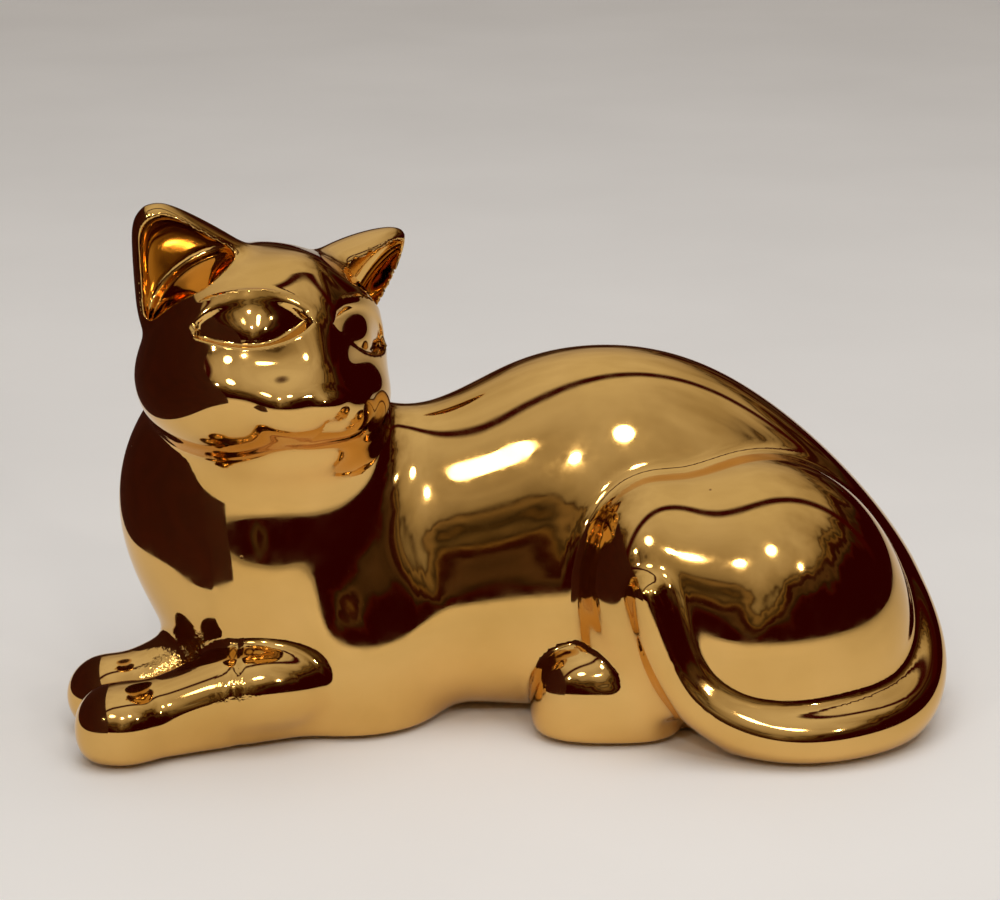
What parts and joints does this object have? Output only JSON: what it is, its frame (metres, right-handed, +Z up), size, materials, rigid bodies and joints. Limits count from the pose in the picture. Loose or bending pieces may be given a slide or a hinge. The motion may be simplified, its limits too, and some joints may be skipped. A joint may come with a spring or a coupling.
{
  "type": "cat figurine",
  "caption": "Reclining cat figurine in gold-plated glazed ceramic: hollow body and head, cast ears, forelegs, hind paws and tail, with a closed vent and felt pads underneath.",
  "frame": {"origin": "middle of the figure's footprint box, on the table under the felt pads", "axes": "+Z up; +X along the body from the chest to the rump; -Y to the cat's left, the side its face turns to"},
  "size_m": [0.3005, 0.1295, 0.1799],
  "materials": {
    "gold_ceramic": "polished",
    "plug_rubber": "matte",
    "felt": "matte"
  },
  "bodies": {
    "root": {"torso_shell": "gold_ceramic", "head_shell": "gold_ceramic", "left_ear": "gold_ceramic", "right_ear": "gold_ceramic", "left_foreleg": "gold_ceramic", "right_foreleg": "gold_ceramic", "left_hind_paw": "gold_ceramic", "right_hind_paw": "gold_ceramic", "tail": "gold_ceramic", "vent_plug": "plug_rubber", "felt_pad_front_left": "felt", "felt_pad_front_right": "felt", "felt_pad_rear_left": "felt", "felt_pad_rear_right": "felt"}
  },
  "joints": []
}
